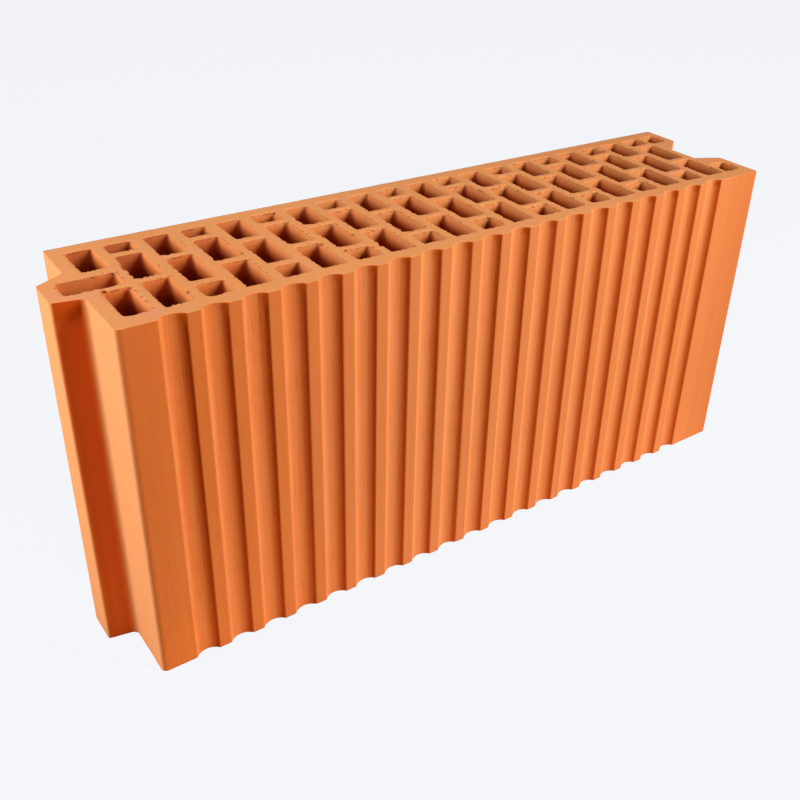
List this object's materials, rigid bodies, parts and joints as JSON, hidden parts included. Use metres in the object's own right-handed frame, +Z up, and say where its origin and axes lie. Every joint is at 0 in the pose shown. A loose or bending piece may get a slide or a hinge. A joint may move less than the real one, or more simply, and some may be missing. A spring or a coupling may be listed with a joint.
{
  "type": "hollow clay block",
  "caption": "Upright perforated fired clay wall block with staggered vertical cells, a tongue and a groove on its ends, one scalloped face for plaster and one plain face",
  "frame": {"origin": "On the bottom bed face, under the middle of the whole length with the tongue included and halfway between the front lands and the back face", "axes": "+X runs along the block from the tongue to the grooved end, +Y from the scalloped front to the plain back, +Z up along the cells"},
  "size_m": [0.5154, 0.115, 0.238],
  "materials": {
    "fired_clay": "matt orange fired clay, unglazed, with extrusion streaks and crumbly cut rims"
  },
  "bodies": {
    "root": {"clay_block": "fired_clay"}
  },
  "joints": []
}
